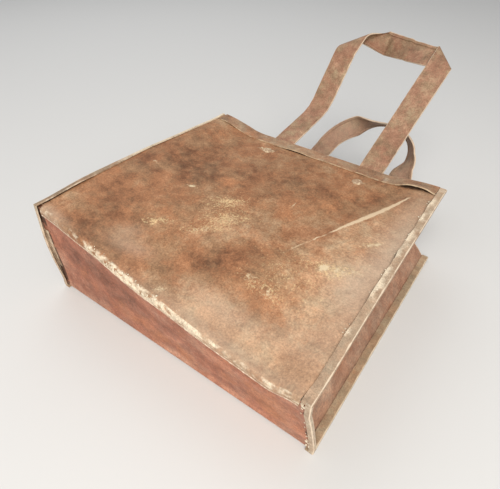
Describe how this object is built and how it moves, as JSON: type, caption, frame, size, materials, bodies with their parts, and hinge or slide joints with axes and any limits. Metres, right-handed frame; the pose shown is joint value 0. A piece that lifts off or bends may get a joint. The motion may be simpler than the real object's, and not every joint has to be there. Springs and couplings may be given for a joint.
{
  "type": "metal lunch box",
  "caption": "Rusted sheet-metal lunch box shaped like an open carrying bag, with inward-folded sides, bound seams and strap handles that bend at the mouth.",
  "frame": {"origin": "centre of the outer box's base: the middle of the surface that the part lies on", "axes": "+X across the box to the right as seen on the front panel, +Y from the bottom towards the mouth and the handles, +Z from the back panel to the front panel, up as it lies"},
  "size_m": [0.304, 0.4474, 0.1839],
  "materials": {
    "rusted_panel": "rusted sheet steel with worn brown patina, orange patches and pale speckles",
    "rusted_base": "rusted sheet steel, reddish brown with dark streaks",
    "rusted_gusset": "rusted sheet steel, pinkish brown",
    "worn_strip": "greyish tan rusted strip with bright worn edges",
    "rusted_band": "rusted strip, brown with worn edges",
    "rusted_strap": "rusted strap steel, pinkish tan with bright thin edges",
    "crusted_rivet": "low rivet heads with whitish crust",
    "dull_solder": "dull whitish solder"
  },
  "bodies": {
    "box": {"front_panel": "rusted_panel", "base_sheet": "rusted_base", "left_gusset": "rusted_gusset", "right_gusset": "rusted_gusset", "front_left_binding": "worn_strip", "front_right_binding": "worn_strip", "bottom_left_binding": "worn_strip", "bottom_right_binding": "worn_strip", "back_left_binding": "worn_strip", "back_right_binding": "worn_strip", "front_mouth_band": "rusted_band", "back_mouth_band": "rusted_band", "front_handle_tails": "rusted_strap", "back_handle_tails": "rusted_strap", "front_rivets": "crusted_rivet", "back_rivets": "crusted_rivet", "seam_solder": "dull_solder"},
    "front_handle": {"front_handle": "rusted_strap"},
    "back_handle": {"back_handle": "rusted_strap"}
  },
  "joints": [
    {"name": "front_handle_bend", "type": "hinge", "parent": "box", "child": "front_handle", "pos_m": [0.005, 0.05301, 0.08377], "axis": [1, 0, 0], "range_deg": [-15, 40]},
    {"name": "back_handle_bend", "type": "hinge", "parent": "box", "child": "back_handle", "pos_m": [0.005, 0.05307, 0.0031], "axis": [1, 0, 0], "range_deg": [-32, 4]}
  ]
}
